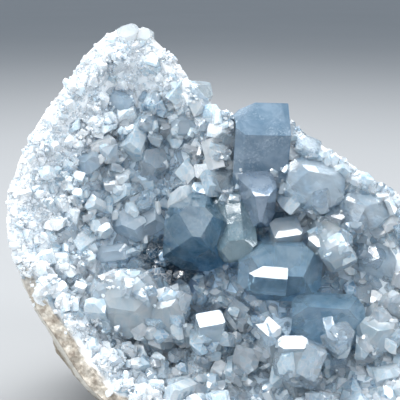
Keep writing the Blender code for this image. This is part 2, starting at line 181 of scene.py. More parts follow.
def above_base(point, least):
    """The point, lifted with a soft bend so that it stays above this height."""
    bend = 4 * MM
    over = point.z - least
    return Vector((point.x, point.y, least + (over + math.sqrt(over**2 + bend**2)) / 2))


def rim_lift(angle):
    """How far the broken rim stands out of the opening's plane."""
    spot = Vector((math.cos(angle), math.sin(angle), 0))
    return RIM_STEP * (noise.noise(spot * 2.3) + 0.6 * noise.noise(spot * 7))


def nodule(angle, share, inset):
    """Reach and depth of the nodule's smooth form; share runs from 0 at its back to 1 at the rim."""
    turn = share * math.pi / 2
    radius = mix(back_radius(angle), rim_radius(angle), share**4)
    reach = radius * math.sin(turn) ** REACH_POWER - inset * math.sin(turn)
    return max(reach, 0.0), (NODULE_DEPTH - inset) * math.cos(turn)


def bowl_depth(share):
    """Depth of the massive layer's face; share runs from 0 at the middle to 1 at the rim."""
    return BOWL_DEPTH * max(0.0, 1 - (share / BOWL_SHARE) ** 2) ** 0.8


def fractal(point, size, octaves=4, fall=0.5):
    """Noise of several sizes, each half the one before."""
    total, weight = 0.0, 1.0
    for _ in range(octaves):
        total += weight * noise.noise(point / size)
        size /= 2
        weight *= fall
    return total


# Meshes


def cube_grid(count):
    """Angle and ring of each point of a cube with a grid on its faces, and the quads between them.

    Ring 0 is the middle of the back, 1 the rim, and 2 the middle of the front.
    """
    steps = np.linspace(-1, 1, count + 1)
    first, second = np.meshgrid(steps, steps, indexing="ij")
    flat = np.stack([first.ravel(), second.ravel()], 1)
    row = np.arange(count)[:, None] * (count + 1) + np.arange(count)[None, :]
    square = np.stack([row, row + count + 1, row + count + 2, row + 1], -1).reshape(-1, 4)
    points, quads = [], []
    for axis in range(3):
        for side in (-1.0, 1.0):
            face = np.insert(flat, axis, side, axis=1)
            turned = square if (side > 0) == (axis != 1) else square[:, ::-1]
            quads.append(turned + len(points) * len(flat))
            points.append(face)
    points = np.concatenate(points)
    _, index, back = np.unique(np.round(points, 6), axis=0, return_index=True, return_inverse=True)
    points, quads = points[index], back.reshape(-1)[np.concatenate(quads)]
    x, y, z = points.T
    angle = np.arctan2(np.tan(y * math.pi / 4), np.tan(x * math.pi / 4))
    reach = np.maximum(abs(x), abs(y)) / 2
    ring = np.where(z < -1 + 1e-6, reach, np.where(z > 1 - 1e-6, 2 - reach, 1 + z / 2))
    return angle.tolist(), ring.tolist(), quads


def add_object(name, data):
    """An object with these data, linked to the scene."""
    made = bpy.data.objects.new(name, data)
    bpy.context.scene.collection.objects.link(made)
    return made


def new_piece(name, points, faces, material, slot="celestite", node="crystal_crust", smooth_faces=False,
              **tones):
    """A piece of the geode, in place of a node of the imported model. Tones hold a number for each point."""
    mesh = bpy.data.meshes.new(name)
    mesh.from_pydata([tuple(point) for point in points], [], [tuple(face) for face in faces])
    mesh.update()
    mesh.shade_smooth() if smooth_faces else mesh.shade_flat()
    for tone, values in tones.items():
        layer = mesh.attributes.new(tone, "FLOAT", "POINT")
        layer.data.foreach_set("value", np.asarray(values, np.float32))
    mesh.materials.append(material.made)
    piece = add_object(name, mesh)
    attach(piece, "root")
    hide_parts(node)
    return piece


# Crystals: each is a convex solid, a list of points and a list of faces


def cut(bm, point, normal):
    """Cuts a convex solid on a plane, drops what lies beyond it and closes the cut."""
    everything = bm.verts[:] + bm.edges[:] + bm.faces[:]
    made = bmesh.ops.bisect_plane(
        bm, geom=everything, dist=1e-7, plane_co=point, plane_no=normal, clear_outer=True
    )
    edges = [part for part in made["geom_cut"] if isinstance(part, bmesh.types.BMEdge)]
    if len(edges) > 2:
        bmesh.ops.contextual_create(bm, geom=edges)


def crystal(
    width, thick, length, bevels=(0.2, 0.2, 0.2, 0.2), slopes=(35, 35), skew=0.0,
    ends=(45, 45), ridge=(-0.2, 0.2), top=0.0,
):
    """One crystal, its tip at the origin and its root at -Z: a prism with cut corners, and a chisel end.

    Two slopes meet in a ridge along X, set off the middle by skew half thicknesses, and two end facets
    cut the ridge at shares of the width. Bevels are the cut corners, from +X +Y round to +X -Y, and top
    is how far below the ridge a flat face cuts it off. Slopes and ends are in degrees.
    """
    bm = bmesh.new()
    box = Matrix.Diagonal((width, thick, length, 1))
    bmesh.ops.create_cube(bm, size=1, matrix=Matrix.Translation((0, 0, -length / 2)) @ box)
    corner = math.radians(52)
    for (x, y), share in zip(((1, 1), (-1, 1), (-1, -1), (1, -1)), bevels):
        if not share:
            continue
        normal = Vector((x * math.cos(corner), y * math.sin(corner), 0))
        full = (width * math.cos(corner) + thick * math.sin(corner)) / 2
        cut(bm, normal * full * (1 - share), normal)
    middle = skew * thick / 2
    for side, slope in zip((1, -1), slopes):
        turn = math.radians(slope)
        cut(bm, Vector((0, middle, 0)), Vector((0, side * math.sin(turn), math.cos(turn))))
    for side, slope, share in zip((-1, 1), ends, ridge):
        turn = math.radians(slope)
        cut(bm, Vector((share * width, middle, 0)), Vector((side * math.sin(turn), 0, math.cos(turn))))
    if top > 0:
        cut(bm, Vector((0, 0, -top)), Vector((0, 0, 1)))
    bmesh.ops.recalc_face_normals(bm, faces=bm.faces)
    return bm


def solid_of(bm):
    """The points and faces of a bmesh, which is freed."""
    bm.verts.index_update()
    points = np.array([vert.co[:] for vert in bm.verts])
    faces = [[vert.index for vert in face.verts] for face in bm.faces]
    bm.free()
    return points, faces


def stood(solid, tip, lean, turn):
    """The solid with its tip here, its axis along lean, turned about that axis."""
    axis = Vector(lean).normalized()
    side = (ACROSS - axis * ACROSS.dot(axis)).normalized()
    basis = Matrix((side, axis.cross(side), axis)).transposed() @ Matrix.Rotation(math.radians(turn), 3, "Z")
    points, faces = solid
    return points @ np.array(basis).T + np.array(tip), faces


def joined(solids):
    """One list of points and one of faces for many solids, and for each point the number of its solid."""
    points, faces, owner, start = [], [], [], 0
    for number, (solid_points, solid_faces) in enumerate(solids):
        points.append(solid_points)
        faces += [[start + index for index in face] for face in solid_faces]
        owner.append(np.full(len(solid_points), number))
        start += len(solid_points)
    return np.concatenate(points), faces, np.concatenate(owner)


# The rock


def rock_point(angle, ring):
    """The rock: its outside up to ring 1, the broken lip, and a smooth wall inside."""
    lip = 0.06
    if ring <= 1:
        reach, depth = nodule(angle, ring, 0.0)
        point = place(angle, reach, depth)
        middle = place(0.0, 0.0, 0.35 * NODULE_DEPTH)
        lumps = noise.noise(point / LUMP_SIZE) + 0.4 * noise.noise(point / PIT_SIZE)
        point += (point - middle).normalized() * LUMP * lumps * (1 - ring**6)
        if ring == 1:
            point = place(angle, rim_radius(angle), -rim_lift(angle))
        grain = GRAIN * fractal(point + OPENING_CENTRE, GRAIN_SIZE, 4, 0.55)
        away, _ = noise.voronoi(point / CRACKED_SIZE)
        pitted = smooth(0.0, 0.25, noise.noise(point / PITTED_PATCHES))
        pit = -PITS * (1 - smooth(0.12, 0.42, away[0])) * pitted
        cracked = smooth(-0.1, 0.3, noise.noise(point / CRACKED_PATCHES))
        crack = -CRACKS * (1 - smooth(0.0, 0.09, away[1] - away[0])) * cracked
        point += (point - middle).normalized() * (grain + pit + crack) * MM
    elif ring < 1 + lip:
        share = (ring - 1) / lip
        point = place(angle, rim_radius(angle) - RIM_WALL * share, -rim_lift(angle))
        point += OUT * MM * LIP_GRAIN * fractal(point, LIP_GRAIN_SIZE, 4, 0.6)
    else:
        share = (2 - ring) / (1 - lip)
        wall = mix(BACK_WALL, RIM_WALL, share**2)
        point = above_base(place(angle, *nodule(angle, share, wall)), BASE_WALL)
    if point.z < FLAT_SPOT:
        point.z = max(0.0, FLAT_GRAIN * noise.noise(point / FLAT_GRAIN_SIZE))
    return point


def make_rock(material):
    angles, rings, quads = cube_grid(ROCK_GRID)
    points = [rock_point(angle, ring) for angle, ring in zip(angles, rings)]
    edge = [smooth(0.80, 0.97, ring) if ring < 1.1 else 0.0 for ring in rings]
    return new_piece("rock", points, quads, material, "host_rock", "rind", True, rim=edge)


# The massive celestite


def layer_point(angle, ring):
    """The massive layer: a hidden wall behind, a lip over the rim, and the bowl's rough face."""
    lip_start, lip_end = 0.86, 1.0
    if ring < lip_start:
        share = ring / lip_start
        wall = mix(BACK_WALL, RIM_WALL, share**2) + GAP
        return above_base(place(angle, *nodule(angle, share, wall)), BASE_WALL + GAP)
    if ring < lip_end:
        share = (ring - lip_start) / (lip_end - lip_start)
        edge = place(angle, rim_radius(angle) - (RIM_WALL + GAP) * (1 - share) + CRUST_OVERHANG * share,
                     -rim_lift(angle) - GAP - share * CRUST_LIFT * 0.5)
    else:
        share = math.sin((2 - ring) * math.pi / 2)
        edge = place(angle, rim_radius(angle) * share, bowl_depth(share)) + OUT * CRUST_LIFT
        share = smooth(1.0, 0.9, share)
        edge += OUT * rim_lift(angle) * (1 - share)
    rough = LAYER_GRAIN * fractal(edge, LAYER_GRAIN_SIZE, 5, 0.6)
    away, _ = noise.voronoi(edge / LAYER_CELLS_SIZE)
    rough += LAYER_CELLS * (away[1] - away[0])
    return edge + OUT * rough * MM


# Painted shade: round this spot the layer and the small crystals are coloured dark, for a deep crevice in
# shadow.
SHADED_POCKET = Vector((-21, 11, 52.5)) * MM  # the darkest place, beside the deep blue crystal


def in_shaded_pocket(point):
    """1 in the pocket of painted shade, falling to 0 round it."""
    return smooth(15, 8, (point - SHADED_POCKET).length / MM)


def dusty(angle, share):
    """1 where the broken edge is stained brown like the rock: a strip along the rim at the lower left."""
    spot = Vector((math.cos(angle), math.sin(angle), 0)) * 6 + Vector((0, 0, share * 9))
    degrees = math.degrees(angle) % 360
    below = smooth(172, 196, degrees) * smooth(292, 262, degrees)
    start = mix(0.985, 0.90, below) + 0.035 * noise.noise(spot) + 0.02 * noise.noise(spot * 3)
    return smooth(start, start + 0.03, share) * mix(0.25, 1.0, below)


def make_layer(material):
    angles, rings, quads = cube_grid(LAYER_GRID)
    points = [layer_point(angle, ring) for angle, ring in zip(angles, rings)]
    share = [math.sin((2 - ring) * math.pi / 2) if ring >= 1 else 1.0 for ring in rings]
    dust = [dusty(angle, reach) for angle, reach in zip(angles, share)]
    # Lowering the share in the pocket brings it to the ramp's darkest stop: painted shade.
    share = [reach - in_shaded_pocket(point) for reach, point in zip(share, points)]
    return new_piece("massive_celestite", points, quads, material, share=share, dust=dust)


# The large crystals: tip in mm, direction of the axis, turn about it in degrees, its form, and its kind
LARGE = [
    # The milky chisel that stands up over the rim
    ((12, 17.5, 109.5), (0.04, -0.16, 1), 3,
     dict(width=19.2, thick=16, length=42, bevels=(0.2, 0.2, 0.16, 0.02), slopes=(50, 36),
          skew=0.4, ends=(36, 75), ridge=(-0.12, 0.5)), "milky"),
    # The dark blue pyramid at the middle
    ((-12.2, -4.5, 64.5), (-0.06, -0.97, -0.02), -4,
     dict(width=22, thick=26, length=42, bevels=(0.3, 0.3, 0.24, 0.2), slopes=(30, 34), skew=0.3,
          ends=(36, 48), ridge=(-0.03, 0.1)), "deep"),
    # The clear blue one that faces the front, and the small step on its ridge
    ((18, -12, 56), (0.04, -0.97, 0.12), -3,
     dict(width=29.5, thick=20, length=42, bevels=(0.24, 0.3, 0.3, 0.26), slopes=(33, 38),
          skew=0.1, ends=(42, 50), ridge=(-0.24, 0.22)), "clear"),
    ((12.6, -12.8, 59), (0, -0.47, 0.88), -6,
     dict(width=13, thick=5, length=9, bevels=(0.02, 0.5, 0.2, 0.02), slopes=(4, 4), ends=(5, 5),
          top=0.3), "clear"),
    # The prism above it, pointing down, and the round-ended one at its left
    ((11, -1, 72.5), (0.06, -0.9, -0.42), 0,
     dict(width=12.5, thick=16, length=40, bevels=(0.1, 0.2, 0.1, 0.2), slopes=(28, 35),
          ends=(72, 58), ridge=(-0.06, 0)), "lavender"),
    ((3.5, -2.5, 58.5), (0.05, -0.8, -0.6), 8,
     dict(width=14, thick=12, length=40, bevels=(0.3, 0.3, 0.3, 0.3), slopes=(40, 40),
          ends=(48, 48), top=0.6), "green"),
    # Small pale one at the right, and the large pale ones under the rim there
    ((37.5, -9.5, 60.5), (0.12, -0.93, -0.3), 30,
     dict(width=10.5, thick=11, length=34, bevels=(0.25, 0.25, 0.25, 0.25), slopes=(30, 30),
          top=1), "icy"),
    ((49, 0, 78.5), (0.3, -0.75, 0.55), 20,
     dict(width=15, thick=14, length=30, slopes=(38, 35), ends=(40, 40)), "pale"),
    ((31, 4.5, 87.5), (0.1, -0.75, 0.6), -10,
     dict(width=20, thick=17, length=34, skew=0.1, ends=(40, 35)), "pale"),
    ((40.5, 2.5, 73.5), (0.1, -0.85, 0.5), 35,
     dict(width=12, thick=11, length=26, slopes=(30, 45), ends=(50, 35)), "pale"),
    ((-2, 14.5, 85), (-0.05, -0.75, 0.66), -15,
     dict(width=10, thick=10, length=26, slopes=(40, 35), ends=(60, 60)), "pale"),
    ((54, -3, 59), (0.2, -0.9, 0.35), -25,
     dict(width=12.5, thick=11, length=28, slopes=(32, 40), ends=(45, 40)), "pale"),
    # The broad ledge below the clear one, the upright prism beside it and their neighbours
    ((33.5, -15, 46), (0, -0.62, 0.78), -4,
     dict(width=25, thick=17, length=28, slopes=(25, 48), skew=0.1, ends=(30, 40),
          ridge=(-0.3, 0.25)), "clear"),
    ((36.5, -22.5, 43), (0, -0.45, 0.89), 25,
     dict(width=7, thick=6.5, length=28, slopes=(20, 30), ends=(25, 30)), "pale"),
    ((51, -20.5, 41.5), (0.15, -0.72, 0.6), 10,
     dict(width=14, thick=12, length=26, slopes=(35, 40), ends=(40, 40)), "icy"),
    ((22, -27.5, 37), (-0.05, -0.6, 0.79), 5,
     dict(width=11, thick=9, length=30, slopes=(30, 35), ends=(35, 35)), "icy"),
    # Flat-topped blocks
    ((20, 4.5, 69.5), (0, -0.46, 0.88), 12,
     dict(width=10.5, thick=9.5, length=26, bevels=(0.1, 0.25, 0.05, 0.12), slopes=(8, 8),
          ends=(12, 12), top=0.3), "glassy"),
    ((31.5, 0, 66.5), (0.02, -0.5, 0.86), 40,
     dict(width=7.2, thick=7, length=26, slopes=(6, 6), ends=(8, 8), top=0.3), "glassy"),
    ((12.5, -20.5, 43), (-0.1, -0.48, 0.86), 38,
     dict(width=5.5, thick=9.5, length=28, slopes=(6, 6), ends=(8, 8), top=0.3), "glassy"),
    ((20, -26, 40), (0, -0.5, 0.86), 0,
     dict(width=9.5, thick=5, length=30, slopes=(6, 6), ends=(8, 8), top=0.3), "glassy"),
    ((-6.5, -16.5, 44), (0.05, -0.44, 0.9), 15,
     dict(width=9, thick=6, length=26, bevels=(0.1, 0.1, 0.02, 0.1), slopes=(6, 6), ends=(8, 8),
          top=0.3), "glassy"),
    # Two at the peak of the rim, and blunt ones on the skyline beside the notch
    ((-37, 38, 136), (-0.15, -0.45, 0.88), 20,
     dict(width=8.5, thick=7.5, length=17, slopes=(40, 35), ends=(40, 50)), "white"),
    ((-30, 37.5, 135), (0.15, -0.4, 0.9), -15,
     dict(width=6, thick=6, length=16, slopes=(45, 45), ends=(55, 50)), "white"),
    ((-9, 23, 116), (0.25, -0.6, 0.75), 10,
     dict(width=8, thick=8, length=17, slopes=(30, 30), ends=(30, 40)), "pale"),
    ((29, 14, 98.5), (0.2, -0.55, 0.8), -20,
     dict(width=9, thick=7, length=18, slopes=(35, 35), ends=(35, 45)), "pale"),
    # Blocky ones on the left, and narrower ones behind them
    ((-21.5, -14.5, 45), (-0.05, -0.9, 0.4), 12,
     dict(width=11, thick=17, length=28, slopes=(35, 30), skew=0.2, ends=(30, 35)), "icy"),
    ((-36, -15.5, 45.5), (-0.1, -0.95, 0.2), -8,
     dict(width=21, thick=19, length=28, slopes=(28, 30), skew=0.1, ends=(25, 35)), "icy"),
    ((-28, 14, 67.5), (0.1, -0.9, 0.3), 30,
     dict(width=11, thick=9, length=26, slopes=(35, 40), ends=(40, 50)), "blue"),
    ((-36, 13, 66), (-0.2, -0.9, 0.1), -20,
     dict(width=13, thick=10, length=26, slopes=(30, 35), ends=(35, 40)), "blue"),
    ((-42, 9.5, 58), (-0.1, -0.8, 0.6), 5,
     dict(width=14, thick=6, length=22, slopes=(25, 30), ends=(30, 35)), "blue"),
    ((-50, 18, 90), (0.1, -0.8, 0.4), 40,
     dict(width=9, thick=8, length=20, slopes=(40, 35), ends=(45, 40)), "blue"),
    ((-15.5, 25, 103), (0.1, -0.7, 0.65), 10,
     dict(width=9.5, thick=8, length=20, slopes=(35, 35), ends=(50, 40)), "blue"),
    ((-39.5, 30, 111), (0, -0.75, 0.6), -30,
     dict(width=9, thick=8, length=20, slopes=(40, 30), ends=(40, 45)), "blue"),
]

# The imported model's smaller crystals: for each zone the share of the radius where it ends, and in mm the
# spacing of the crystals there and their least and greatest width
ZONES = [(0.5, 10.5, 9.5, 13.5), (0.82, 9.3, 8.5, 12), (1.0, 7.9, 6.5, 9.5)]
SEED = 11
TRIES = 6000
CROWDED = 0.3  # share of its spacing that one keeps clear of a large crystal
SPREAD = 0.55  # how much those near the rim lean in
LEAN = 0.42  # and how much each leans its own way
PROUD = (0.35, 0.8)  # how far a tip stands out of the massive layer, in widths
ROOTED = 0.9  # and how deep the root goes
THICK = (0.7, 1.0)
BEVELLED = 0.2  # share of the edges that are cut off
BEVELS = (0.18, 0.35)
SLOPES = (26, 50)
SKEW = 0.4
ENDS = (30, 62)
RIDGE = (0.1, 0.5)
SHOWN = (0.3, 0.7, 1.1)  # places on a large crystal's axis that show, in widths below its tip
HALF = 0.45  # of a large crystal's width, kept clear round its axis
BESIDE = 0.4  # of the smaller crystal's own width, kept clear besides
BEHIND = 0.2  # a crystal this far behind such a place, in halves, hides nothing
SKYLINE = (math.radians(55), math.radians(118))  # here the crystals stand out over the rim
SKYLINE_OVERHANG = 1.8 * MM
RIM_CLEAR = 0.5 * MM


def flat_distance(first, second):
    """The distance between two points as seen from straight before the opening."""
    apart = first - second
    return (apart - OUT * apart.dot(OUT)).length


def hides(spot, size, shown):
    """Whether a crystal of this size, with its tip here, stands before a large one, seen from the front."""
    for middle, room in shown:
        apart = spot - middle
        before = apart.dot(FRONT)
        if before > -BEHIND * room and (apart - FRONT * before).length < room + BESIDE * size:
            return True
    return False


def medium_crystals(rng):
    """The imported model's smaller crystals, each rooted in the massive layer and leaning its own way."""
    taken, shown = [], []
    for tip, lean, _, form, *_ in LARGE:
        width, top, axis = form["width"] * MM, Vector(tip) * MM, Vector(lean).normalized()
        taken.append((top, HALF * width))
        shown += [(top - axis * share * width, HALF * width) for share in SHOWN]
    placed, solids = [], []
    for _ in range(TRIES):
        angle = rng.uniform(0, 2 * math.pi)
        share = math.sqrt(rng.random())
        _, spacing, least, most = next(zone for zone in ZONES if share <= zone[0])
        spacing *= MM
        width = rng.uniform(least, most) * MM
        overhang = SKYLINE_OVERHANG if SKYLINE[0] < angle < SKYLINE[1] else -RIM_CLEAR
        if rim_radius(angle) * (1 - share) < 0.5 * width - overhang:
            continue
        face = place(angle, rim_radius(angle) * share, bowl_depth(share)) + OUT * CRUST_LIFT
        if any((face - other).length < spacing for other in placed):
            continue
        if any(flat_distance(face, tip) < room + CROWDED * spacing for tip, room in taken):
            continue
        slope = math.cos(angle) * ACROSS + math.sin(angle) * UP_SLOPE
        lean = OUT - slope * SPREAD * share**2
        lean += Vector([rng.uniform(-1, 1) for _ in range(3)]) * LEAN
        lean.normalize()
        above = width * rng.uniform(*PROUD)
        if hides(face + lean * above, width, shown):
            continue
        placed.append(face)
        form = crystal(
            width=width,
            thick=width * rng.uniform(*THICK),
            length=above + width * ROOTED,
            bevels=[rng.uniform(*BEVELS) if rng.random() < BEVELLED else 0.0 for _ in range(4)],
            slopes=(rng.uniform(*SLOPES), rng.uniform(*SLOPES)),
            skew=rng.uniform(-SKEW, SKEW),
            ends=(rng.uniform(*ENDS), rng.uniform(*ENDS)),
            ridge=(-rng.uniform(*RIDGE), rng.uniform(*RIDGE)),
        )
        solids.append(stood(solid_of(form), face + lean * above, lean, rng.uniform(0, 360)))
    return solids


def kept_inside(points, overhang=None):
    """The points, with any root that would come through the rock pulled back behind its inner wall.

    Overhang is how far the points before the opening may stand out over the rim, or None for no limit.
    """
    kept = []
    for x, y, z in points:
        spot = Vector((x, y, z)) - OPENING_CENTRE
        depth = -spot.dot(OUT)
        inside = depth > 1 * MM
        across, up = spot.dot(ACROSS), spot.dot(UP_SLOPE) + (SAG * depth if inside else 0.0)
        angle, reach = math.atan2(up, across), math.hypot(across, up)
        most = reach
        if inside:
            inset = RIM_WALL + 2 * GAP
            share = math.acos(min(depth / (NODULE_DEPTH - inset), 1.0)) / (math.pi / 2)
            most, _ = nodule(angle, share, inset)
        elif overhang is not None:
            on_skyline = SKYLINE[0] < angle < SKYLINE[1]
            most = rim_radius(angle) + (SKYLINE_OVERHANG if on_skyline else overhang)
            depth = min(depth, 0.0)
        kept.append(place(angle, most, depth) if reach > most else Vector((x, y, z)))
    return np.array([tuple(point) for point in kept])


def large_solid(tip, lean, turn, form):
    """One crystal of LARGE, standing in its place."""
    sized = {name: value * MM if name in ("width", "thick", "length", "top") else value
             for name, value in form.items()}
    return stood(solid_of(crystal(**sized)), Vector(tip) * MM, lean, turn)


def large_solids():
    """The large crystals as solids, in lists by kind."""
    groups = {}
    for tip, lean, turn, form, kind in LARGE:
        groups.setdefault(kind, []).append(large_solid(tip, lean, turn, form))
    return groups


def forms(rng, count):
    """Crystals one unit wide, for the small ones: pointed chisels, and a few with nearly flat ends."""
    made = []
    for _ in range(count):
        slant = (6, 18) if rng.random() < FLAT_ENDED else (28, 55)
        made.append(solid_of(crystal(
            width=1.0,
            thick=rng.uniform(0.6, 1.0),
            length=rng.uniform(1.5, 2.0),
            bevels=[rng.choice((0.0, rng.uniform(0.15, 0.45))) for _ in range(4)],
            slopes=(rng.uniform(*slant), rng.uniform(*slant)),
            skew=rng.uniform(-0.5, 0.5),
            ends=(rng.uniform(*slant), rng.uniform(*slant)),
            ridge=(rng.uniform(-0.45, 0.0), rng.uniform(0.0, 0.45)),
        )))
    return made


def chips(rng, count):
    """Broken grains one unit wide: a cube with a few planes cut off it."""
    made = []
    for _ in range(count):
        bm = bmesh.new()
        bmesh.ops.create_cube(bm, size=1.0)
        for _ in range(rng.randint(5, 8)):
            normal = Vector([rng.gauss(0, 1) for _ in range(3)]).normalized()
            cut(bm, normal * rng.uniform(0.34, 0.5), normal)
        bmesh.ops.recalc_face_normals(bm, faces=bm.faces)
        made.append(solid_of(bm))
    return made


def ground_tree(solids, layer):
    """What small crystals may root on: the layer and the larger crystals, for rays."""
    points, faces, _ = joined(solids)
    start = len(layer.data.vertices)
    ground = [vert.co for vert in layer.data.vertices] + [Vector(point) for point in points]
    polygons = [tuple(polygon.vertices) for polygon in layer.data.polygons]
    on_layer = len(polygons)
    polygons += [[start + index for index in face] for face in faces]
    return BVHTree.FromPolygons(ground, polygons), on_layer


def side_share(angle):
    """1 at the left side of the geode, 0 at the right."""
    return 0.5 - 0.5 * math.cos(angle)


def hit_ground(rng, tree, angle, share, slant):
    """The place, normal and face where a ray through this spot of the opening first meets the ground."""
    way = (Vector([rng.gauss(0, slant) for _ in range(3)]) - OUT).normalized()
    start = place(angle, rim_radius(angle) * share, 0.0) - way * RAY_BACK * MM
    spot, normal, face, _ = tree.ray_cast(start, way)
    if spot is not None and normal.dot(way) > 0:
        normal = -normal
    return spot, normal, face


# How far from its tip a large crystal of each kind is kept bare, in widths
BARE = {"milky": 1.2, "deep": 1.2, "clear": 0.95, "lavender": 1.75, "green": 1.6, "blue": 0.5,
        "pale": 0.62, "icy": 0.4, "glassy": 0.8, "white": 0.7}


class Clearing:
    """Keeps the end of each large crystal bare, as seen from the front."""

    def __init__(self):
        points, faces, owner = joined([large_solid(*row[:-1]) for row in LARGE])
        self.owners = [owner[face[0]] for face in faces]
        self.tips = [(Vector(tip) * MM, BARE[kind] * form["width"] * MM) for tip, _, _, form, kind in LARGE]
        self.tree = BVHTree.FromPolygons([Vector(point) for point in points], faces)

    def holds(self, spot):
        """Whether this spot hides a bare end."""
        hit, _, face, _ = self.tree.ray_cast(spot + FRONT * 0.1 * MM, -FRONT, 40 * MM)
        if hit is None:
            return False
        tip, bare = self.tips[self.owners[face]]
        return (hit - tip).length < bare


def around(solid):
    """Angle and share of the rim's radius of the place where a crystal stands."""
    spot = Vector(solid[0].mean(0)) - OPENING_CENTRE
    x, y = spot.dot(ACROSS), spot.dot(UP_SLOPE)
    angle = math.atan2(y, x)
    return angle, math.hypot(x, y) / rim_radius(angle)


def whiteness(angle, share):
    """1 on the sugary band inside the rim at the left, falling to 0 in the hollow."""
    spot = Vector((math.cos(angle), math.sin(angle), share))
    band = smooth(*WHITE_BAND, share + 0.14 * noise.noise(spot * 4))
    return band * smooth(0.25, 0.7, side_share(angle))


def shrunk(solid, share):
    """The solid drawn in towards the point where it is rooted."""
    points, faces = solid
    root = points.mean(0) - np.array(OUT) * np.ptp(points @ np.array(OUT)) / 2
    return root + (points - root) * share, faces


def small_crystals(rng, tree, on_layer, clearing):
    """Crystals side by side on the ground, all but on the ends of large ones that stay bare."""
    shapes = forms(rng, SMALL_FORMS)
    solids, taken = [], {}
    for _ in range(SMALL_TRIES):
        angle = rng.uniform(0, 2 * math.pi)
        share = math.sqrt(rng.uniform(0, 1))
        on_crystal = mix(*ON_CRYSTAL, smooth(0.3, 0.6, side_share(angle)) * smooth(0.45, 0.8, share))
        left_out = SUGARY_LEFT_OUT * whiteness(angle, share)
        if rng.random() < max(left_out, dusty(angle, share + DUST_MARGIN)):
            continue
        spot, normal, face = hit_ground(rng, tree, angle, share, SMALL_RAYS)
        if spot is None or (face >= on_layer and rng.random() > on_crystal):
            continue
        size = mix(*SMALL_WIDTHS, share) * rng.lognormvariate(0, SMALL_VARIED)
        if rng.random() < whiteness(angle, share):
            size *= SUGARY_WIDTH
        cell = tuple(int(value // SMALL_CELL) for value in spot)
        near = [other for x in (-1, 0, 1) for y in (-1, 0, 1) for z in (-1, 0, 1)
                for other in taken.get((cell[0] + x, cell[1] + y, cell[2] + z), ())]
        if any((spot - other).length < SMALL_TIGHT * (size + width) / 2 for other, width in near):
            continue
        lean = normal + OUT * SMALL_OUTWARD + Vector([rng.gauss(0, 1) for _ in range(3)]) * SMALL_LEAN
        lean.normalize()
        points, faces = rng.choice(shapes)
        tip = spot + lean * size * rng.uniform(*SMALL_PROUD)
        if clearing.holds(spot) or clearing.holds(tip):
            continue
        taken.setdefault(cell, []).append((spot, size))
        solids.append(stood((points * size, faces), tip, lean, rng.uniform(0, 360)))
    return solids


def sugar_grains(rng, tree, clearing):
    """Sugary grains: thick on the white band and along the rim, and thin in the hollow."""
    shapes = chips(rng, GRAIN_FORMS)
    grains = []
    for _ in range(GRAIN_TRIES):
        angle = rng.uniform(0, 2 * math.pi)
        share = math.sqrt(rng.uniform(0.05, 1.0))
        thick = max(whiteness(angle, share)**2, smooth(0.92, 1.0, share))
        if rng.random() > GRAINS_IN_HOLLOW + (1 - GRAINS_IN_HOLLOW) * thick:
            continue
        if rng.random() < dusty(angle, share + DUST_MARGIN):
            continue
        spot, _, _ = hit_ground(rng, tree, angle, share, GRAIN_RAYS)
        if spot is None or clearing.holds(spot):
            continue
        size = rng.uniform(*GRAIN_WIDTHS) * MM
        points, faces = rng.choice(shapes)
        lean = Vector([rng.gauss(0, 1) for _ in range(3)])
        grains.append(stood((points * size, faces), spot, lean, rng.uniform(0, 360)))
    return grains


# Materials


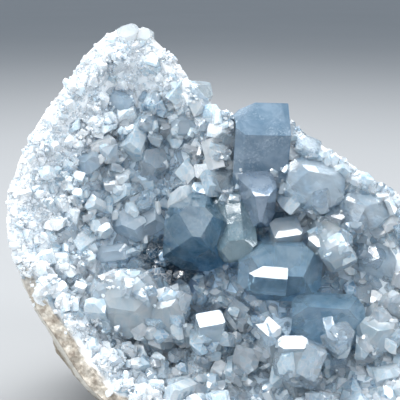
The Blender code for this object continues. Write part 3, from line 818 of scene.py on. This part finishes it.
class Material:
    """A material with short ways to add and join its nodes."""

    def __init__(self, name):
        self.made = bpy.data.materials.new(name)
        self.made.use_nodes = True
        self.nodes = self.made.node_tree.nodes
        self.shader = self.nodes["Principled BSDF"]
        self.output = self.nodes["Material Output"]
        self.place = self.node("ShaderNodeTexCoord").outputs["Object"]

    def node(self, kind, **settings):
        made = self.nodes.new(kind)
        for name, value in settings.items():
            if name in made.inputs:
                self.feed(made.inputs[name], value)
            else:
                setattr(made, name, value)
        return made

    def feed(self, socket, value):
        if isinstance(value, bpy.types.NodeSocket):
            self.made.node_tree.links.new(value, socket)
        else:
            socket.default_value = value

    def set(self, **values):
        for name, value in values.items():
            self.feed(self.shader.inputs[name.replace("_", " ")], value)

    def noise(self, size, detail=3.0, roughness=0.5, distortion=0.0):
        """Noise whose features are about this size in metres."""
        made = self.node("ShaderNodeTexNoise", Vector=self.place, Scale=1 / size, Detail=detail,
                         Roughness=roughness, Distortion=distortion)
        return made.outputs["Fac"]

    def ramp(self, value, *stops):
        """Colours or numbers at places along the value."""
        made = self.node("ShaderNodeValToRGB", Fac=value)
        elements = made.color_ramp.elements
        while len(elements) < len(stops):
            elements.new(1.0)
        for element, (position, colour) in zip(elements, stops):
            element.position = position
            element.color = (*colour, 1) if isinstance(colour, tuple) else (colour, colour, colour, 1)
        return made.outputs["Color"]

    def mix(self, share, first, second):
        made = self.node("ShaderNodeMix", data_type="RGBA")
        self.feed(made.inputs[0], share)
        self.feed(made.inputs[6], first if not isinstance(first, tuple) else (*first, 1))
        self.feed(made.inputs[7], second if not isinstance(second, tuple) else (*second, 1))
        return made.outputs[2]

    def maths(self, operation, first, second=0.0):
        made = self.node("ShaderNodeMath", operation=operation)
        self.feed(made.inputs[0], first)
        self.feed(made.inputs[1], second)
        return made.outputs[0]

    def tone(self, name):
        return self.node("ShaderNodeAttribute", attribute_name=name).outputs["Fac"]

    def vector(self, operation, first, second=(0.0, 0.0, 0.0), scale=1.0):
        made = self.node("ShaderNodeVectorMath", operation=operation)
        self.feed(made.inputs[0], first)
        self.feed(made.inputs[1], second)
        made.inputs[3].default_value = scale
        return made.outputs[0]

    def cells(self, size):
        """Irregular cells of about this size: a random colour for each, and how near its edge a point is."""
        found = self.node("ShaderNodeTexVoronoi", Vector=self.place, Scale=1 / size)
        edge = self.node("ShaderNodeTexVoronoi", feature="DISTANCE_TO_EDGE", Vector=self.place,
                         Scale=1 / size)
        return found.outputs["Color"], edge.outputs["Distance"]

    def broken(self, cells, amount):
        """The surface's normal, tilted its own way in each cell, as on fractured crystal."""
        tilt = self.vector("SCALE", self.vector("SUBTRACT", cells, (0.5, 0.5, 0.5)), scale=amount)
        flat = self.node("ShaderNodeNewGeometry").outputs["Normal"]
        return self.vector("NORMALIZE", self.vector("ADD", flat, tilt))

    def bump(self, height, distance, strength=1.0, normal=None):
        made = self.node("ShaderNodeBump", Height=height, Distance=distance, Strength=strength)
        if normal is not None:
            self.feed(made.inputs["Normal"], normal)
        self.feed(self.shader.inputs["Normal"], made.outputs["Normal"])

    def absorb(self, colour, density):
        made = self.node("ShaderNodeVolumeAbsorption", Color=(*colour, 1), Density=density)
        self.feed(self.output.inputs["Volume"], made.outputs["Volume"])

    def celestite(self, colour, clear, roughness, coat, glow, depth, spread):
        """A crystal's surface under a thin gloss. Glow is light scattered inside it, this deep."""
        self.set(Base_Color=colour, Transmission_Weight=clear, Roughness=roughness, IOR=1.62,
                 Coat_Weight=coat, Coat_Roughness=0.02, Coat_IOR=1.6,
                 Subsurface_Weight=glow, Subsurface_Scale=depth, Subsurface_Radius=spread)


def crystal_material(name, body, pale, clear, absorbed, density, glow=0.0, fractured=0.06, veined=0.0,
                     rough=(0.03, 0.22)):
    """Clear or milky crystal: body colour, its paler clouds, how see-through it is, and what it absorbs.

    Glow is light scattered inside, fractured how far broken faces tilt, and veined how white the cracks are.
    """
    made = Material(name)
    clouds = made.noise(6 * MM, 5.0, 0.62, 0.6)
    veils = made.ramp(clouds, (0.37, 0.0), (0.62, 1.0))
    cells, edge = made.cells(5.5 * MM)
    colour = made.mix(veils, body, pale)
    fine = made.noise(1.6 * MM, 4.0, 0.6)
    veins = made.maths("MULTIPLY", made.ramp(edge, (0.0, veined), (0.09, 0.0)),
                       made.ramp(fine, (0.4, 0.0), (0.6, 1.0)))
    frost = made.maths("MULTIPLY", made.ramp(made.noise(0.9 * MM, 5.0, 0.7), (0.5, 0.0), (0.7, 0.6)),
                       made.ramp(made.noise(8 * MM, 3.0), (0.45, 0.0), (0.62, 1.0)))
    colour = made.mix(made.maths("MAXIMUM", frost, veins), colour, (0.80, 0.90, 0.97))
    roughness = made.ramp(fine, (0.35, rough[0]), (0.72, rough[1]))
    made.celestite(colour, clear, roughness, 0.6, glow, 4 * MM, (0.8, 0.9, 1.0))
    made.bump(made.noise(2.4 * MM, 3.0, 0.5), 0.12 * MM, 0.35, made.broken(cells, fractured))
    made.absorb(absorbed, density)
    return made


def druse_material(name, clear, rough, glow, broken=0.35):
    """The small crystals: white to blue, by the tone that each one carries, with frosted lines."""
    made = Material(name)
    cells, edge = made.cells(1.9 * MM)
    coarse, coarse_edge = made.cells(4.5 * MM)
    clouds = made.noise(1.3 * MM, 4.0, 0.65)
    toned = made.tone("tone")
    for pattern, amount in ((cells, 0.45), (coarse, 0.25), (clouds, 0.5)):
        spread = made.maths("MULTIPLY", made.maths("SUBTRACT", pattern, 0.5), amount)
        toned = made.maths("ADD", toned, spread)
    # The two darkest stops are reached mostly where the tone is raised in the pocket, as painted shade.
    colour = made.ramp(toned, (0.0, (0.88, 0.93, 0.97)), (0.3, (0.72, 0.86, 0.96)),
                       (0.6, (0.56, 0.76, 0.91)), (0.82, (0.28, 0.46, 0.64)), (1.0, (0.06, 0.14, 0.22)))
    frost = made.maths("MULTIPLY", made.ramp(clouds, (0.40, 0.1), (0.60, 1.0)),
                       made.maths("MAXIMUM", made.ramp(edge, (0.0, 0.8), (0.10, 0.0)),
                                  made.ramp(coarse_edge, (0.0, 1.0), (0.06, 0.0))))
    colour = made.mix(frost, colour, (0.97, 0.98, 1.0))
    roughness = made.ramp(clouds, (0.35, rough[0]), (0.7, rough[1]))
    made.celestite(colour, clear, roughness, 0.5, glow, 1.5 * MM, (0.85, 0.92, 1.0))
    made.set(Normal=made.broken(cells, broken))
    return made


def rock_material():
    made = Material("weathered_rock")
    broad = made.noise(24 * MM, 5.0, 0.6, 0.4)
    grain = made.noise(2.2 * MM, 6.0, 0.7)
    specks = made.noise(0.9 * MM, 2.0, 0.5)
    colour = made.ramp(broad, (0.3, (0.20, 0.165, 0.12)), (0.48, (0.34, 0.29, 0.22)),
                       (0.62, (0.46, 0.41, 0.33)), (0.78, (0.30, 0.26, 0.20)))
    colour = made.mix(made.ramp(grain, (0.35, 0.75), (0.65, 0.0)), colour, (0.15, 0.12, 0.09))
    colour = made.mix(made.ramp(specks, (0.6, 0.0), (0.72, 0.55)), colour, (0.66, 0.62, 0.54))
    colour = made.mix(made.ramp(made.tone("rim"), (0.3, 0.0), (1.0, 0.8)), colour, (0.72, 0.70, 0.64))
    made.set(Base_Color=colour, Roughness=made.ramp(grain, (0.3, 0.95), (0.7, 0.75)))
    made.bump(made.maths("ADD", grain, made.maths("MULTIPLY", specks, 0.4)), 0.9 * MM, 0.7)
    return made


def layer_material():
    made = Material("massive_celestite")
    share = made.tone("share")
    clouds = made.noise(5 * MM, 5.0, 0.62)
    toned = made.maths("ADD", share, made.maths("MULTIPLY", made.maths("SUBTRACT", clouds, 0.5), 0.5))
    # The darkest stop is reached in the pocket, where it is painted shade, and at the very middle of the
    # bowl.
    colour = made.ramp(toned, (0.0, (0.08, 0.14, 0.22)), (0.13, (0.54, 0.70, 0.84)),
                       (0.5, (0.70, 0.83, 0.93)), (0.78, (0.85, 0.91, 0.95)), (0.92, (0.93, 0.94, 0.94)))
    fine = made.noise(0.9 * MM, 4.0, 0.6)
    dirt = made.ramp(made.noise(2.5 * MM, 5.0, 0.65), (0.35, (0.22, 0.18, 0.14)), (0.55, (0.47, 0.42, 0.35)),
                     (0.7, (0.70, 0.66, 0.59)))
    colour = made.mix(made.tone("dust"), colour, dirt)
    made.set(Base_Color=colour, Roughness=made.ramp(fine, (0.35, 0.3), (0.7, 0.65)))
    made.bump(fine, 0.4 * MM, 0.6)
    return made


# Body colour, paler clouds, transmission, absorbed colour and density of each kind of large crystal, then
# glow, fracture, veins and roughness where they aren't the plain ones
KINDS = {
    "milky": ((0.13, 0.23, 0.33), (0.26, 0.37, 0.48), 0.45, (0.42, 0.66, 0.84), 40.0),
    "deep": ((0.07, 0.22, 0.34), (0.28, 0.46, 0.58), 0.75, (0.34, 0.66, 0.82), 55.0),
    "clear": ((0.24, 0.43, 0.58), (0.48, 0.67, 0.80), 0.72, (0.52, 0.77, 0.91), 26.0),
    "lavender": ((0.30, 0.41, 0.54), (0.46, 0.58, 0.71), 0.60, (0.62, 0.74, 0.90), 30.0),
    "green": ((0.25, 0.40, 0.47), (0.42, 0.57, 0.64), 0.65, (0.60, 0.80, 0.86), 30.0),
    "blue": ((0.50, 0.66, 0.79), (0.72, 0.83, 0.92), 0.66, (0.70, 0.85, 0.94), 14.0, 0.15, 0.3, 0.8),
    "pale": ((0.57, 0.75, 0.90), (0.82, 0.91, 0.98), 0.80, (0.78, 0.91, 0.98), 12.0, 0.0, 0.22, 0.8),
    "icy": ((0.62, 0.80, 0.93), (0.88, 0.95, 0.99), 0.66, (0.80, 0.92, 0.98), 9.0, 0.3, 0.4, 1.0,
            (0.01, 0.14)),
    "glassy": ((0.66, 0.80, 0.89), (0.86, 0.92, 0.96), 0.70, (0.75, 0.88, 0.96), 15.0, 0.2, 0.01, 0.0,
               (0.01, 0.06)),
    "white": ((0.82, 0.90, 0.95), (0.95, 0.97, 0.98), 0.55, (0.90, 0.95, 0.98), 8.0, 0.3, 0.16, 0.6),
}


# The object

make_rock(rock_material())
layer = make_layer(layer_material())

groups = large_solids()
for kind, solids in groups.items():
    points, faces, _ = joined(solids)
    new_piece(f"large_{kind}_crystals", kept_inside(points), faces,
              crystal_material(f"{kind}_crystal", *KINDS[kind]))

DRUSE = {
    "clear": druse_material("clear_druse", 0.70, (0.0, 0.08), 0.0),
    "milky": druse_material("milky_druse", 0.4, (0.02, 0.2), 0.3),
    "sugary": druse_material("sugar_crystal", 0.15, (0.1, 0.4), 0.4),
}


def add_druse(name, solids, tones, material):
    """A piece of many crystals, each with its own tone."""
    points, faces, owner = joined(solids)
    tones = np.asarray(tones)[owner]
    new_piece(name, kept_inside(points, DRUSE_OVERHANG), faces, material, tone=tones)


def sort_druse(rng, name, solids):
    """Makes three pieces of these crystals: clear, milky and sugary ones, each with its own tone."""
    sorts = {sort: ([], []) for sort in DRUSE}
    for solid in solids:
        angle, share = around(solid)
        white = whiteness(angle, share)
        blue = mix(*BLUE, smooth(0.25, 0.95, share)) * (1 - white) + rng.gauss(0, BLUE_SPREAD)
        # In the pocket the tone is raised towards the darkest stops: painted shade.
        blue = min(blue, MOST_BLUE) + POCKET_SHADE * in_shaded_pocket(Vector(solid[0].mean(0)))
        if rng.random() < white:
            sort = "sugary"
        else:
            sort = "clear" if rng.random() < CLEAR_SHARE else "milky"
        sorts[sort][0].append(solid)
        sorts[sort][1].append(blue)
    for sort, (chosen, tones) in sorts.items():
        if chosen:
            add_druse(f"{name}_{sort}", chosen, tones, DRUSE[sort])


rng = random.Random(DRUSE_SEED)
clearing = Clearing()
medium = medium_crystals(random.Random(SEED))
tree, on_layer = ground_tree([solid for group in groups.values() for solid in group] + medium, layer)

medium = [shrunk(solid, mix(1.0, MEDIUM_DRAWN_IN, smooth(0.2, 0.6, side_share(around(solid)[0]))))
          for solid in medium]
sort_druse(rng, "medium_crystals", medium)
small = small_crystals(rng, tree, on_layer, clearing)
sort_druse(rng, "small_crystals", small)

grains = sugar_grains(rng, tree, clearing)
add_druse("sugar_grains", grains, [rng.uniform(-0.1, 0.25) for _ in grains], DRUSE["sugary"])


# The studio

CAMERA_TARGET = Vector((-10, 0, 80)) * MM
CAMERA_DISTANCE = 264.4 * MM
LIGHT_TARGET = Vector((-0.005, 0, 0.07))


def add_camera():
    data = bpy.data.cameras.new("camera")
    data.lens = 70
    data.sensor_width = 36
    camera = add_object("camera", data)
    camera.location = CAMERA_TARGET + FRONT * CAMERA_DISTANCE
    camera.rotation_euler = (-FRONT).to_track_quat("-Z", "Y").to_euler()
    bpy.context.scene.camera = camera


def add_softbox(name, direction, distance, width, height, radiance, colour=(1, 1, 1)):
    """A softbox that faces the geode. Radiance is how bright its face is."""
    data = bpy.data.lights.new(name, "AREA")
    data.shape = "RECTANGLE"
    data.size = width
    data.size_y = height
    data.energy = radiance * width * height * math.pi
    data.color = colour
    light = add_object(name, data)
    towards = Vector(direction).normalized()
    light.location = LIGHT_TARGET + towards * distance
    light.rotation_euler = (-towards).to_track_quat("-Z", "Y").to_euler()


def add_floor():
    mesh = bpy.data.meshes.new("floor")
    reach = 12.0
    mesh.from_pydata([(-reach, -reach, 0), (reach, -reach, 0), (reach, reach, 0), (-reach, reach, 0)], [],
                     [(0, 1, 2, 3)])
    material = Material("pale_floor")
    material.set(Base_Color=material.mix(material.noise(0.4, 2.0), (0.30, 0.305, 0.31), (0.33, 0.335, 0.34)),
                 Roughness=0.6)
    mesh.materials.append(material.made)
    add_object("floor", mesh)


def add_world():
    world = bpy.data.worlds.new("studio")
    world.use_nodes = True
    background = world.node_tree.nodes["Background"].inputs
    background["Color"].default_value = (0.76, 0.87, 1.0, 1)
    background["Strength"].default_value = 0.6
    bpy.context.scene.world = world


add_camera()
add_floor()
add_world()
add_softbox("overhead", (0.0, 0.31, 0.95), 0.9, 0.8, 0.6, 9.5)
add_softbox("front_fill", (-0.1, -0.9, 0.5), 1.4, 1.1, 1.1, 1.7, (0.97, 0.99, 1.0))
add_softbox("left_sparkle", (-0.75, -0.4, 0.7), 1.0, 0.34, 0.34, 15, (1.0, 0.99, 0.97))
add_softbox("right_sparkle", (0.8, -0.25, 0.6), 1.0, 0.28, 0.28, 13)

bpy.context.scene.view_settings.view_transform = "Standard"
cycles = bpy.context.scene.cycles
cycles.max_bounces = cycles.transmission_bounces = 24
cycles.diffuse_bounces = cycles.glossy_bounces = 10
